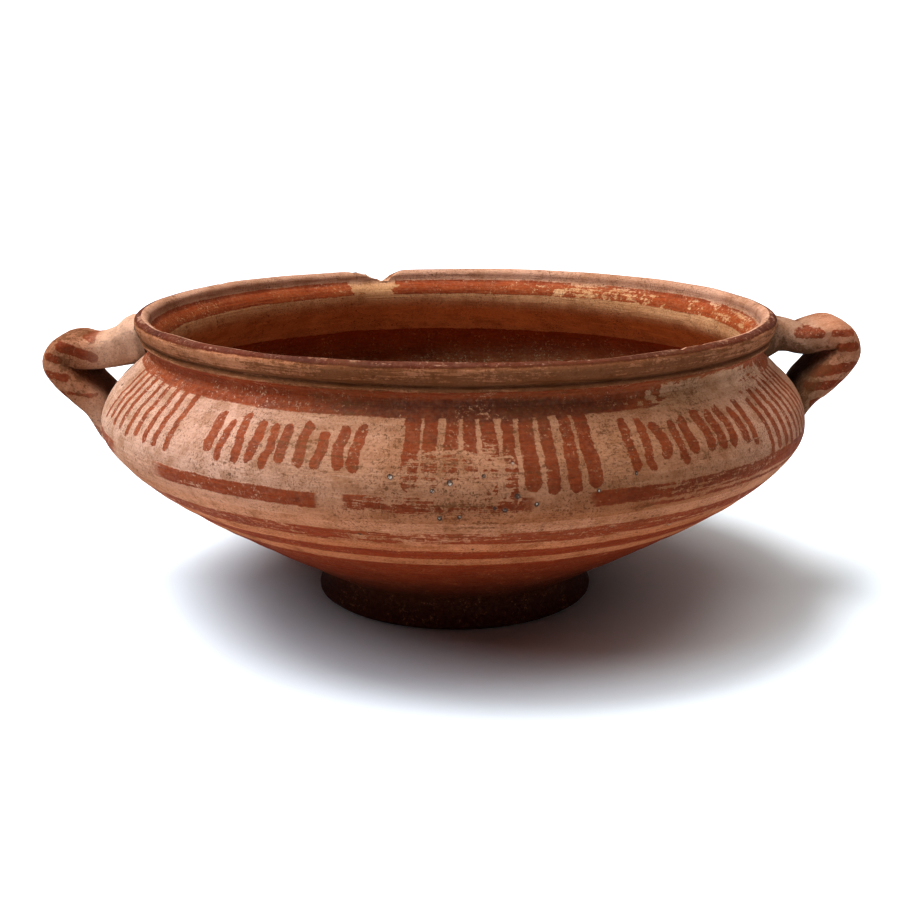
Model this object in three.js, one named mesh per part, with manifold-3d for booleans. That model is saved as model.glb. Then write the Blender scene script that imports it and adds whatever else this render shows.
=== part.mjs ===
// Biconical bowl of painted terracotta, with a ring foot and two strap handles.
// Millimetres, +Z up. The bowl's axis is the Z axis and its foot stands on Z = 0.
import * as THREE from "three";
import { mergeVertices } from "three/addons/utils/BufferGeometryUtils.js";
import Module from "manifold-3d";

// Rim: a low upright collar with a rounded lip, a turned groove and a fine bead under it
const HEIGHT = 93;
const RIM_RADIUS = 100;
const RIM_THICKNESS = 4.8;
const COLLAR_HEIGHT = 5.8;
const COLLAR_FLARE = 1.0;
const GROOVE_WIDTH = 0.9;
const GROOVE_DEPTH = 1.3;
const BEAD_WIDTH = 1.3;

// Body: concave neck, sloping shoulder, widest line and a long lower cone
const NECK_RADIUS = 96.2;
const NECK_DROP = 10.3;
const NECK_HEIGHT = HEIGHT - NECK_DROP;
const BELLY_RADIUS = 111.5;
const SHOULDER_RISE = 22.7;
const BELLY_HEIGHT = NECK_HEIGHT - SHOULDER_RISE;
const CONE_ANGLE = 30.8;
const WALL = 5;
const FLOOR = 6.5;

// Foot: a low ring, slightly flared, turned hollow underneath
const FOOT_RADIUS = 45;
const FOOT_NECK_RADIUS = 43.4;
const FOOT_HEIGHT = 9.3;
const FOOT_RING_WIDTH = 7;
const FOOT_RECESS = 5;
const FOOT_ROUNDING = 0.8;

// Handles: clay straps that leave the rim level, turn over and come back to the widest line.
// Their drop is taken from the rim, and their root from the widest line.
const HANDLE_WIDTH = 30;
const HANDLE_WAIST = 20;
const HANDLE_THICKNESS = 8;
const HANDLE_ARM_THICKNESS = 9.8;
const HANDLE_ROOT_THICKNESS = 12;
const LEFT_HANDLE = { side: -1, reach: 130.6, drop: 14.2, hump: 1.4, root: 11 };
const RIGHT_HANDLE = { side: 1, reach: 127.8, drop: 10.7, hump: 2.4, root: 6 };

// Chip knocked out of the back of the rim
const CHIP_DIRECTION = 107;
const CHIP_LENGTH = 24;
const CHIP_DEPTH = 4.6;

const TURN_STEPS = 60;
const CLAY = { color: 0xb9825f, roughness: 0.86, metalness: 0 };

const wasm = await Module();
wasm.setup();

// A closed three.js geometry as a solid that can be joined and cut
function toSolid(geometry) {
  const bare = geometry.clone();
  bare.deleteAttribute("normal");
  bare.deleteAttribute("uv");
  const merged = mergeVertices(bare, 1e-4);
  const index = merged.index.array;
  const corners = [];
  for (let i = 0; i < index.length; i += 3) {
    const [a, b, c] = [index[i], index[i + 1], index[i + 2]];
    if (a !== b && b !== c && c !== a) {
      corners.push(a, b, c);
    }
  }
  const vertProperties = new Float32Array(merged.attributes.position.array);
  const triVerts = new Uint32Array(corners);
  return new wasm.Manifold(new wasm.Mesh({ numProp: 3, vertProperties, triVerts }));
}

function toGeometry(solid) {
  const { vertProperties, triVerts } = solid.getMesh();
  const geometry = new THREE.BufferGeometry();
  geometry.setAttribute("position", new THREE.BufferAttribute(vertProperties, 3));
  geometry.setIndex(new THREE.BufferAttribute(triVerts, 1));
  geometry.computeVertexNormals();
  return geometry;
}

// Turns a profile of [radius, height] points, listed from the foot up, about the Z axis
function turned(profile) {
  const geometry = new THREE.LatheGeometry(profile, TURN_STEPS, Math.PI / TURN_STEPS);
  geometry.rotateX(Math.PI / 2);
  return toSolid(geometry);
}

const at = (radius, height) => new THREE.Vector2(radius, height);

function curve(steps, ...points) {
  return new THREE.CubicBezierCurve(...points).getPoints(steps);
}

// Shifts a run of profile points square to the run, into the wall
function inset(points, depth) {
  return points.map((point, i) => {
    const before = points[Math.max(i - 1, 0)];
    const after = points[Math.min(i + 1, points.length - 1)];
    const along = after.clone().sub(before).normalize();
    return at(point.x - along.y * depth, point.y + along.x * depth);
  });
}

// The long lower wall, from the foot's neck out to the widest line
function lowerWall() {
  const slope = THREE.MathUtils.degToRad(CONE_ANGLE);
  const reach = 0.56 * (BELLY_RADIUS - FOOT_NECK_RADIUS);
  const foot = at(FOOT_NECK_RADIUS, FOOT_HEIGHT);
  const fromFoot = at(foot.x + reach * Math.cos(slope), foot.y + reach * Math.sin(slope));
  const belly = at(BELLY_RADIUS, BELLY_HEIGHT);
  const toBelly = at(BELLY_RADIUS, BELLY_HEIGHT - 0.22 * (BELLY_HEIGHT - FOOT_HEIGHT));
  return curve(9, foot, fromFoot, toBelly, belly);
}

// The shoulder, from the widest line up and in to the neck
function shoulder() {
  const rise = NECK_HEIGHT - BELLY_HEIGHT;
  const belly = at(BELLY_RADIUS, BELLY_HEIGHT);
  const neck = at(NECK_RADIUS, NECK_HEIGHT);
  return curve(7, belly, at(belly.x, belly.y + 0.57 * rise), at(neck.x, neck.y - 0.22 * rise), neck);
}

// The neck's upper flare, out to the bead under the collar
function neckFlare() {
  const top = HEIGHT - COLLAR_HEIGHT - GROOVE_WIDTH - BEAD_WIDTH;
  const rise = top - NECK_HEIGHT;
  const neck = at(NECK_RADIUS, NECK_HEIGHT);
  const bead = at(RIM_RADIUS - COLLAR_FLARE - 0.5 * GROOVE_DEPTH, top);
  return curve(3, neck, at(neck.x, neck.y + 0.5 * rise), at(bead.x - 0.5, bead.y - 0.4 * rise), bead);
}

function collarAndLip() {
  const foot = HEIGHT - COLLAR_HEIGHT;
  const collar = RIM_RADIUS - COLLAR_FLARE;
  const bead = collar - 0.3 * GROOVE_DEPTH;
  const lip = RIM_THICKNESS / 2;
  const points = [
    at(bead, foot - GROOVE_WIDTH - 0.3 * BEAD_WIDTH),
    at(collar - GROOVE_DEPTH, foot - 0.6 * GROOVE_WIDTH),
    at(collar, foot),
  ];
  for (let i = 0; i <= 5; i++) {
    const angle = (i * Math.PI) / 5;
    points.push(at(RIM_RADIUS - lip + lip * Math.cos(angle), HEIGHT - lip + lip * Math.sin(angle)));
  }
  return points;
}

function footRing() {
  const inner = FOOT_RADIUS - FOOT_RING_WIDTH;
  return [
    at(0, FOOT_RECESS),
    at(0.6 * inner, FOOT_RECESS),
    at(inner - 1.6, FOOT_RECESS - 0.3),
    at(inner - 0.4, 0.5 * FOOT_RECESS),
    at(inner, 0),
    at(FOOT_RADIUS - FOOT_ROUNDING, 0),
    at(FOOT_RADIUS, FOOT_ROUNDING),
    at(FOOT_RADIUS - 0.7 * (FOOT_RADIUS - FOOT_NECK_RADIUS), 0.45 * FOOT_HEIGHT),
    at(FOOT_NECK_RADIUS - 0.4, 0.75 * FOOT_HEIGHT),
  ];
}

// The bowl as a filled shape; the hollow is cut from it after the handles are joined on
function filledBowl() {
  const profile = [
    ...footRing(),
    ...lowerWall(),
    ...shoulder().slice(1),
    ...neckFlare().slice(1),
    ...collarAndLip(),
    at(0, HEIGHT - RIM_THICKNESS / 2),
  ];
  return turned(profile);
}

// The space inside, a wall's thickness in from the outside and open at the rim
function hollow() {
  const mouth = RIM_RADIUS - RIM_THICKNESS;
  const walls = inset([...lowerWall(), ...shoulder().slice(1), ...neckFlare().slice(1)], WALL);
  const floor = FOOT_RECESS + FLOOR;
  const profile = [
    at(0, floor),
    at(0.5 * walls[0].x, floor + 0.3),
    ...walls.filter((point) => point.y > floor + 0.6),
    at(mouth, HEIGHT - RIM_THICKNESS / 2),
    at(mouth, HEIGHT + RIM_THICKNESS),
    at(0, HEIGHT + RIM_THICKNESS),
  ];
  return turned(profile);
}

// A handle's centre line, in the plane through the bowl's axis: it dips, humps up over the
// bend, and falls back to its root on the widest line
function handleLine({ side, reach, drop, hump, root }) {
  const out = reach - HANDLE_THICKNESS / 2;
  const span = out - RIM_RADIUS;
  const dip = HEIGHT - drop;
  const foot = BELLY_HEIGHT - root;
  const fall = dip - foot;
  const line = [
    [NECK_RADIUS - 0.5 * WALL, HEIGHT - COLLAR_HEIGHT - 4],
    [RIM_RADIUS + 0.2 * span, dip + 0.6],
    [RIM_RADIUS + 0.46 * span, dip],
    [RIM_RADIUS + 0.7 * span, dip + 0.8 * hump],
    [out - 0.1 * span, dip + 0.75 * hump],
    [out, dip - 0.1 * fall],
    [out - 0.08 * span, dip - 0.25 * fall],
    [out - 0.26 * span, dip - 0.41 * fall],
    [out - 0.45 * span, dip - 0.56 * fall],
    [BELLY_RADIUS - 0.6, dip - 0.78 * fall],
    [BELLY_RADIUS - 0.7 * WALL, foot],
  ];
  return new THREE.CatmullRomCurve3(line.map(([x, z]) => new THREE.Vector3(side * x, 0, z)));
}

// The strap is thick and narrow near the rim, spreads over the bend and thins out on the body
function strapAt(share) {
  const smooth = THREE.MathUtils.smoothstep;
  const root = 1 - smooth(share, 0, 0.16);
  const arm = 1 - smooth(share, 0.26, 0.44);
  const waist = smooth(share, 0, 0.14) * (1 - smooth(share, 0.16, 0.44));
  const tail = smooth(share, 0.8, 1);
  const width = HANDLE_WIDTH - waist * (HANDLE_WIDTH - HANDLE_WAIST);
  const thickness =
    HANDLE_THICKNESS * (1 - 0.3 * tail) +
    arm * (HANDLE_ARM_THICKNESS - HANDLE_THICKNESS) +
    root * (HANDLE_ROOT_THICKNESS - HANDLE_ARM_THICKNESS);
  return { width, thickness };
}

// A closed strap of rounded section swept along the centre line
function handle(shape) {
  const line = handleLine(shape);
  const stations = 24;
  const around = 14;
  const positions = [];
  const faces = [];
  for (let i = 0; i <= stations; i++) {
    const share = i / stations;
    const centre = line.getPointAt(share);
    const along = line.getTangentAt(share);
    const across = new THREE.Vector3(0, 1, 0);
    const outward = along.clone().cross(across);
    const { width, thickness } = strapAt(share);
    for (let j = 0; j < around; j++) {
      const angle = (2 * Math.PI * j) / around;
      const c = Math.cos(angle);
      const s = Math.sin(angle);
      const flat = Math.sign(s) * Math.sqrt(Math.abs(s));
      const point = centre.clone();
      point.addScaledVector(across, 0.5 * width * c);
      point.addScaledVector(outward, 0.5 * thickness * flat);
      positions.push(point.x, point.y, point.z);
    }
  }
  for (let i = 0; i < stations; i++) {
    for (let j = 0; j < around; j++) {
      const a = i * around + j;
      const b = i * around + ((j + 1) % around);
      faces.push(a, b, a + around, b, b + around, a + around);
    }
  }
  const last = stations * around;
  for (let j = 1; j < around - 1; j++) {
    faces.push(0, j + 1, j);
    faces.push(last, last + j, last + j + 1);
  }
  const geometry = new THREE.BufferGeometry();
  geometry.setAttribute("position", new THREE.Float32BufferAttribute(positions, 3));
  geometry.setIndex(faces);
  return toSolid(geometry);
}

// The wedge of clay lost from the rim: a long slope down and a short steep one up
function chip() {
  const outline = new THREE.Shape([
    at(-0.62 * CHIP_LENGTH, 2),
    at(-0.62 * CHIP_LENGTH, -0.1 * CHIP_DEPTH),
    at(-0.3 * CHIP_LENGTH, -0.35 * CHIP_DEPTH),
    at(-0.06 * CHIP_LENGTH, -0.95 * CHIP_DEPTH),
    at(0.04 * CHIP_LENGTH, -CHIP_DEPTH),
    at(0.2 * CHIP_LENGTH, -0.45 * CHIP_DEPTH),
    at(0.38 * CHIP_LENGTH, 2),
  ]);
  const geometry = new THREE.ExtrudeGeometry(outline, { depth: 4 * RIM_THICKNESS, bevelEnabled: false });
  geometry.rotateX(Math.PI / 2);
  geometry.rotateZ(THREE.MathUtils.degToRad(CHIP_DIRECTION - 90));
  const direction = THREE.MathUtils.degToRad(CHIP_DIRECTION);
  const reach = RIM_RADIUS + 2 * RIM_THICKNESS;
  geometry.translate(reach * Math.cos(direction), reach * Math.sin(direction), HEIGHT);
  return toSolid(geometry);
}

function bowl() {
  const joined = filledBowl().add(handle(LEFT_HANDLE)).add(handle(RIGHT_HANDLE));
  const open = joined.subtract(hollow()).subtract(chip());
  const mesh = new THREE.Mesh(toGeometry(open), new THREE.MeshStandardMaterial(CLAY));
  mesh.name = "bowl";
  return mesh;
}

const group = new THREE.Group();
group.add(bowl());
export default group;
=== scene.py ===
"""Painted terracotta bowl with two strap handles, dressed over its CAD frame."""

import math

import bpy
import numpy as np
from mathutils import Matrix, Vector


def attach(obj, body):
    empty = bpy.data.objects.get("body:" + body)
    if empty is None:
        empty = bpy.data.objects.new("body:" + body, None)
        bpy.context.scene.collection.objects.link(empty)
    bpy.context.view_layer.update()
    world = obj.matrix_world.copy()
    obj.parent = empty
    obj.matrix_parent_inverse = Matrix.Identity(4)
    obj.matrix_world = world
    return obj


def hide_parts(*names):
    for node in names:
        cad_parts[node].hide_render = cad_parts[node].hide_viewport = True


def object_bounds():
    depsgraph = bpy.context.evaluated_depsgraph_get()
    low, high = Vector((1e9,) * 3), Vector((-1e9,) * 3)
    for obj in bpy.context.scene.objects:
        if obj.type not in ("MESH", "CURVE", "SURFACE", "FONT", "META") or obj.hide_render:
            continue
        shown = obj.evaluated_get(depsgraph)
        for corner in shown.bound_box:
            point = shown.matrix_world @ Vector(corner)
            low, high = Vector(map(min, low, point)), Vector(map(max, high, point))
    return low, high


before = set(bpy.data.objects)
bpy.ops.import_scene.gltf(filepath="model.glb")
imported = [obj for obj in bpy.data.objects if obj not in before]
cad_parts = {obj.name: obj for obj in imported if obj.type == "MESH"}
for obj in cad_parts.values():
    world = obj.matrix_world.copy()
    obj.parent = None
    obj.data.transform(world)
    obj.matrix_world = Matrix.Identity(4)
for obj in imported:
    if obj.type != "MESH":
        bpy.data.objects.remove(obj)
CAD_LOW, CAD_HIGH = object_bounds()

MM = 0.001

# The thrown shape, in millimetres. It follows the frame's box, just inside it.
HEIGHT = CAD_HIGH[2] / MM - 0.12
BELLY_RADIUS = CAD_HIGH[1] / MM - 0.1
BELLY_HEIGHT = 60.0
RIM_RADIUS = 99.8
LIP = 2.4
COLLAR_HEIGHT = 5.8
COLLAR_FLARE = 1.0
GROOVE_WIDTH = 0.9
GROOVE_DEPTH = 1.3
BEAD_WIDTH = 1.3
NECK_RADIUS = 96.1
NECK_HEIGHT = 82.7
CONE_ANGLE = 30.8
WALL = 5.0
FLOOR = 11.5
FOOT_RADIUS = 44.9
FOOT_NECK_RADIUS = 43.3
FOOT_HEIGHT = 9.3
FOOT_RING_WIDTH = 7.0
FOOT_RECESS = 5.0

# The handles, in millimetres. Each pair of lists gives shares of the way from the rim to the belly
# and what is measured there: the strap's whole width, and its thickness to each side of its line.
# reach is out from the axis, drop down from the lip, hump the rise before the bend, root the height
# at which the strap meets the belly, and lap how far it is pressed into it.
HANDLE_WIDTHS = ((0, 0.14, 0.16, 0.44, 1), (30, 20, 20, 29.6, 29.6))
LEFT_HANDLE = {
    "side": -1,
    "reach": 130.3,
    "half": 5.0,
    "drop": 14.4,
    "hump": 0.1,
    "corner": 0.75,
    "lap": 0.6,
    "root": 48.6,
    "outer": (
        (0, 0.05, 0.1, 0.14, 0.18, 0.22, 0.28, 0.35, 0.42, 0.5, 0.75, 0.92, 1),
        (3, 7.4, 9.6, 9.4, 8.5, 7.5, 6.2, 5.2, 5.9, 5.3, 4.7, 3.6, 1),
    ),
    "inner": ((0, 0.05, 0.2, 0.35, 0.5, 0.75, 0.9, 1), (4, 6.0, 5.5, 5.9, 6.4, 5.0, 3, 0.8)),
}
RIGHT_HANDLE = {
    "side": 1,
    "reach": 127.5,
    "half": 5.0,
    "drop": 10.6,
    "hump": 2.0,
    "corner": 0.75,
    "lap": 2.2,
    "root": 55.0,
    "outer": (
        (0, 0.05, 0.1, 0.14, 0.18, 0.22, 0.28, 0.35, 0.42, 0.5, 0.75, 1),
        (3, 6.6, 6.9, 6.3, 5.9, 5.5, 4.9, 4.8, 5.5, 5.1, 4.8, 1),
    ),
    "inner": (
        (0, 0.05, 0.09, 0.14, 0.2, 0.35, 0.5, 0.75, 0.9, 1),
        (4, 7.6, 6.4, 4.6, 4.3, 5.3, 6.7, 4.8, 2.6, 0.6),
    ),
}

# Where the wall is narrower than its circle: side, how much, and the heights where that starts and ends
FLATTENED = ((1, 1.5, (38, 56), (76, 86)), (-1, 1.0, (60, 72), (78, 86)))

# The chip in the back of the rim
CHIP_DIRECTION = 107.0
CHIP_LENGTH = 24.0
CHIP_DEPTH = 4.7

# Points round the bowl: as fine as the limit of 200,000 triangles a piece allows
AROUND = 364
INSIDE, UNDERSIDE, RIM, FRONT, LEFT, RIGHT, BACK, CONE = range(8)
SHOULDER_TOP, SHOULDER_FOOT = 80.5, 54.0

# How far a degree round the wall reaches, in millimetres, where the strokes and the pits are
STROKE_MM_PER_DEGREE = 1.94
PIT_MM_PER_DEGREE = 1.9

# Colours, in linear light
DULL_CLAY, WARM_CLAY = (0.47, 0.242, 0.145), (0.56, 0.308, 0.203)
CLAY_MOTTLE, WIPED_PALE, WIPED_DARK = (0.33, 0.145, 0.072), (0.64, 0.38, 0.262), (0.30, 0.135, 0.07)
FINE_DARK, FINE_PALE, GRIT = (0.23, 0.10, 0.05), (0.68, 0.43, 0.30), (0.125, 0.05, 0.022)
THIN_SLIP, THICK_SLIP, ORANGE_SLIP = (0.29, 0.053, 0.014), (0.20, 0.031, 0.008), (0.35, 0.085, 0.027)
# The bloom colour also darkens the lower cone and foot as painted shade.
SLIP_GRAIN, SLIP_BLOOM_AND_SHADE = (0.12, 0.026, 0.009), (0.085, 0.022, 0.015)
# The earth colour is also laid on as painted shade on the front, the right and the handles.
# The pale arm colour is a painted sheen on the lit left arm.
# The seam colour is earth and painted shade where a strap meets the neck.
EARTH_AND_SHADE, SEAM_EARTH_AND_SHADE, PAINTED_SHEEN_ARM = (0.135, 0.054, 0.019), (0.15, 0.08, 0.042), (0.74, 0.54, 0.41)
PIT_DARK, PIT_PALE, PIT_RIM = (0.09, 0.045, 0.025), (0.38, 0.27, 0.20), (0.12, 0.07, 0.05)
SPOT_HALO, SPOT_DARK, SPOT_PALE = (0.20, 0.11, 0.07), (0.085, 0.05, 0.038), (0.42, 0.35, 0.29)
UNDERSIDE_DUST, CRACK = (0.33, 0.2, 0.13), (0.05, 0.024, 0.014)

# The photograph's camera, fitted to the rim and foot circles: its width and focal length in pixels,
# the sensor in millimetres, its place in metres and its turn in degrees
PHOTO_WIDTH = 900.0
FOCAL_LENGTH = 1309.9
SENSOR_WIDTH = 36.0
CAMERA_PLACE = (0.0, -0.4150, 0.1532)
CAMERA_DROP, CAMERA_ROLL = 14.648, 0.218


def bezier(steps, *points):
    """Points of a cubic curve, both ends included."""
    a, b, c, d = (np.array(p, float) for p in points)
    t = np.linspace(0, 1, steps + 1)[:, None]
    return (1 - t) ** 3 * a + 3 * (1 - t) ** 2 * t * b + 3 * (1 - t) * t**2 * c + t**3 * d


def smoothstep(x, low, high):
    t = np.clip((x - low) / (high - low), 0, 1)
    return t * t * (3 - 2 * t)


def inset(points, depth):
    """The run of points shifted square to itself, into the wall."""
    along = np.gradient(points, axis=0)
    along /= np.linalg.norm(along, axis=1)[:, None]
    return points + depth * np.stack([-along[:, 1], along[:, 0]], 1)


def respaced(points, spacing):
    """The same run with its points an even spacing apart."""
    step = np.linalg.norm(np.diff(points, axis=0), axis=1)
    at = np.concatenate([[0], np.cumsum(step)])
    count = max(int(round(at[-1] / spacing)), 1)
    even = np.linspace(0, at[-1], count + 1)
    return np.stack([np.interp(even, at, points[:, k]) for k in range(2)], 1)


def wall_line():
    """The outside from the foot's neck up to the bead, as (radius, height)."""
    slope = math.radians(CONE_ANGLE)
    reach = 0.56 * (BELLY_RADIUS - FOOT_NECK_RADIUS)
    foot = (FOOT_NECK_RADIUS, FOOT_HEIGHT)
    from_foot = (foot[0] + reach * math.cos(slope), foot[1] + reach * math.sin(slope))
    belly = (BELLY_RADIUS, BELLY_HEIGHT)
    to_belly = (BELLY_RADIUS, BELLY_HEIGHT - 0.22 * (BELLY_HEIGHT - FOOT_HEIGHT))
    lower = bezier(80, foot, from_foot, to_belly, belly)
    rise = NECK_HEIGHT - BELLY_HEIGHT
    neck = (NECK_RADIUS, NECK_HEIGHT)
    shoulder = bezier(
        60, belly, (belly[0], belly[1] + 0.57 * rise), (neck[0], neck[1] - 0.22 * rise), neck
    )
    top = HEIGHT - COLLAR_HEIGHT - GROOVE_WIDTH - BEAD_WIDTH
    flare = top - NECK_HEIGHT
    bead = (RIM_RADIUS - COLLAR_FLARE - 0.5 * GROOVE_DEPTH, top)
    neck_flare = bezier(
        12, neck, (neck[0], neck[1] + 0.5 * flare), (bead[0] - 0.5, bead[1] - 0.4 * flare), bead
    )
    return np.vstack([lower, shoulder[1:], neck_flare[1:]])


def lip_arc(start, end, steps):
    angle = np.radians(np.linspace(start, end, steps))
    centre = np.array([RIM_RADIUS - LIP, HEIGHT - LIP])
    return centre + LIP * np.stack([np.cos(angle), np.sin(angle)], 1)


def profile():
    """Rows of (radius, height) and their zone, from the middle of the floor over the lip to the foot."""
    wall = wall_line()
    mouth = RIM_RADIUS - 2 * LIP
    hollow = inset(wall, WALL)
    hollow = hollow[hollow[:, 1] > FLOOR + 1.9]
    floor = bezier(12, (0, FLOOR), (18, FLOOR), (34, FLOOR), hollow[0])
    inner = np.vstack([floor, hollow[1:], [(mouth, HEIGHT - LIP - 1.2)]])
    collar = RIM_RADIUS - COLLAR_FLARE
    base = HEIGHT - COLLAR_HEIGHT
    band = [
        (RIM_RADIUS - 0.1, HEIGHT - LIP - 0.8),
        (RIM_RADIUS - 0.4, HEIGHT - LIP - 1.7),
        (collar + 0.1, base + 0.5),
        (collar - 0.2, base),
        (collar - 0.8, base - 0.2),
        (collar - GROOVE_DEPTH, base - 0.5 * GROOVE_WIDTH),
        (collar - 0.9, base - 0.9 * GROOVE_WIDTH),
        (collar - 0.35 * GROOVE_DEPTH, base - GROOVE_WIDTH - 0.35 * BEAD_WIDTH),
        (collar - 0.4 * GROOVE_DEPTH, base - GROOVE_WIDTH - 0.65 * BEAD_WIDTH),
    ]
    outer = respaced(wall[::-1], 0.95)
    to_foot = (FOOT_NECK_RADIUS - 1.0, FOOT_HEIGHT - 1.6), (FOOT_NECK_RADIUS - 0.2, 4.0)
    foot = bezier(12, wall[0], *to_foot, (FOOT_RADIUS, 1.1))
    edge = [(FOOT_RADIUS, 0.7), (FOOT_RADIUS - 0.25, 0.2), (FOOT_RADIUS - 0.8, 0)]
    foot = respaced(np.vstack([foot, edge]), 0.85)
    ring_inner = FOOT_RADIUS - FOOT_RING_WIDTH
    stand = np.array([(FOOT_RADIUS - 0.8, 0), (ring_inner + 0.5, 0)])
    recess_side = [(ring_inner, 0.3), (ring_inner - 0.5, 2.4), (ring_inner - 1.2, 4.2)]
    recess = np.array([(ring_inner - 2.2, FOOT_RECESS - 0.1), (0, FOOT_RECESS)])
    under = np.vstack([respaced(stand, 1.6)[1:], recess_side, respaced(recess, 3.0)])
    runs = [
        (respaced(inner, 1.75), INSIDE),
        (lip_arc(180, 90, 6), INSIDE),
        (lip_arc(75, 0, 6), RIM),
        (band, RIM),
        (outer, RIM),
        (foot[1:], CONE),
        (under, UNDERSIDE),
    ]
    rows = np.vstack([r for r, _ in runs])
    zones = np.concatenate([np.full(len(r), z) for r, z in runs])
    shoulder = (zones == RIM) & (rows[:, 1] < SHOULDER_TOP)
    zones[shoulder] = FRONT
    zones[shoulder & (rows[:, 1] < SHOULDER_FOOT)] = CONE
    return rows, zones


def shoulder_zone(turn):
    """Which part of the painted shoulder lies at this turn, in degrees from the front."""
    if -40.5 < turn < 50.4:
        return FRONT
    if turn > 138.0 or turn < -130.6:
        return BACK
    return RIGHT if turn > 0 else LEFT


def waves(angle, height, seed, count, turns, spread):
    """A smooth uneven surface that closes on itself round the bowl, about -1 to 1."""
    rng = np.random.default_rng(seed)
    total = np.zeros(np.broadcast(angle, height).shape)
    for _ in range(count):
        n = rng.integers(turns[0], turns[1] + 1)
        total += np.cos(n * angle + height / spread * rng.normal() + rng.uniform(0, 6.28))
    return total / math.sqrt(count)


def throwing_lines(angle, height, seed):
    """Fine ridges that the fingers leave, in a slow spiral up the wall."""
    rng = np.random.default_rng(seed)
    total = np.zeros(np.broadcast(angle, height).shape)
    for length in (1.9, 2.7, 4.3, 7.0, 11.0):
        lean = 0.6 * np.sin(2 * angle + rng.uniform(0, 6.28))
        total += length**0.5 * np.sin(2 * np.pi * height / length + lean + rng.uniform(0, 6.28))
    return total / 4.2


def chip_floor(x, y):
    """How high the broken rim stands, for points near the chip."""
    turn = math.radians(CHIP_DIRECTION - 90)
    u = x * math.cos(turn) + y * math.sin(turn)
    across = -x * math.sin(turn) + y * math.cos(turn)
    at = np.array([-0.66, -0.62, -0.3, -0.06, 0.04, 0.2, 0.36, 0.4]) * CHIP_LENGTH
    depth = np.array([0, 0.1, 0.35, 0.95, 1.0, 0.45, 0.04, 0]) * CHIP_DEPTH
    rough = 0.16 * np.sin(2.1 * u + 0.9 * across) + 0.12 * np.sin(4.7 * u - 1.6 * across + 1.0)
    down = np.interp(u, at, depth, left=0, right=0)
    floor = HEIGHT - down * (1 + 0.25 * rough) - rough * (down > 0.2)
    return np.where((across > 60) & (down > 0.03), floor, HEIGHT + 5)


def thrown_points(rows, zones):
    """The turned surface with the unevenness of hand work, in millimetres."""
    angle = np.linspace(0, 2 * np.pi, AROUND, endpoint=False)[None, :]
    radius, height = rows[:, :1], rows[:, 1:]
    along = np.gradient(rows, axis=0)
    along /= np.maximum(np.linalg.norm(along, axis=1), 1e-9)[:, None]
    out_r, out_z = along[:, 1:] * -1, along[:, :1]
    free = smoothstep(height, 2.0, 14.0) * smoothstep(radius, 8.0, 30.0)
    snug = 1 - smoothstep(radius, BELLY_RADIUS - 1.5, BELLY_RADIUS)
    bump = 0.16 * waves(angle, height, 5, 7, (1, 5), 40) - 0.1
    bump = bump + 0.055 * waves(angle, height, 9, 24, (6, 26), 6)
    bump = bump + 0.075 * throwing_lines(angle, height, 3)
    inside = (zones == INSIDE)[:, None]
    bump = np.where(inside, 1.5 * bump, bump) * free * (0.35 + 0.65 * snug)
    bump = np.minimum(bump, 0.12)
    r = radius + out_r * bump
    z = height + out_z * bump
    lip = smoothstep(height, HEIGHT - 7, HEIGHT - 1)
    z = z - lip * (0.14 + 0.14 * waves(angle, 0 * height, 21, 5, (2, 9), 1))
    nick = np.maximum(waves(angle, 0 * height, 33, 26, (30, 90), 1) - 1.5, 0)
    z = z - 0.5 * nick * smoothstep(height, HEIGHT - 1.5, HEIGHT)
    for side, depth, low, high in FLATTENED:
        across = np.maximum(side * np.cos(angle), 0) ** 2
        r = r - depth * across * smoothstep(height, *low) * (1 - smoothstep(height, *high))
    x, y = r * np.cos(angle), r * np.sin(angle)
    z = np.where(height > HEIGHT - 9, np.minimum(z, chip_floor(x, y)), z)
    return np.stack([x, y, z], -1)


def mesh_object(name, points, faces, materials=(), slots=None):
    mesh = bpy.data.meshes.new(name)
    mesh.from_pydata([tuple(p) for p in np.asarray(points) * MM], [], faces)
    for material in materials:
        mesh.materials.append(material)
    if slots is not None:
        mesh.polygons.foreach_set("material_index", np.asarray(slots, np.int32))
    mesh.polygons.foreach_set("use_smooth", np.ones(len(mesh.polygons), bool))
    mesh.update()
    piece = bpy.data.objects.new(name, mesh)
    bpy.context.scene.collection.objects.link(piece)
    return piece


def ring_quads(first, gaps, around):
    """Four-sided faces between rings of points that follow each other from the first one."""
    quads = []
    for i in range(gaps):
        base, above = first + i * around, first + (i + 1) * around
        for j in range(around):
            k = (j + 1) % around
            quads.append((base + j, above + j, above + k, base + k))
    return quads


def point_value(piece, name, values):
    attribute = piece.data.attributes.new(name, "FLOAT", "POINT")
    attribute.data.foreach_set("value", np.asarray(values, np.float32).ravel())


# Handles


def handle_line(shape):
    """A handle's centre line in the plane through the axis, as even points."""
    side, hump, root, lap = (shape[k] for k in ("side", "hump", "root", "lap"))
    out = shape["reach"] - shape["half"]
    span = out - RIM_RADIUS
    dip = HEIGHT - shape["drop"]
    fall = dip - root
    knots = np.array(
        [
            (NECK_RADIUS - 0.5 * WALL, HEIGHT - COLLAR_HEIGHT - 4),
            (RIM_RADIUS + 0.2 * span, dip + 0.6),
            (RIM_RADIUS + 0.46 * span, dip),
            (RIM_RADIUS + 0.7 * span, dip + 0.8 * hump),
            (out - 0.1 * span, dip + shape["corner"] * hump),
            (out, dip - 0.1 * fall),
            (out - 0.08 * span, dip - 0.25 * fall),
            (out - 0.26 * span, dip - 0.41 * fall),
            (out - 0.45 * span, dip - 0.56 * fall),
            (BELLY_RADIUS - lap, dip - 0.78 * fall),
            (BELLY_RADIUS - 0.7 * WALL - lap + 0.6, root),
        ]
    )
    knots[:, 0] *= side
    return even_curve(knots, 110)


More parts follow.
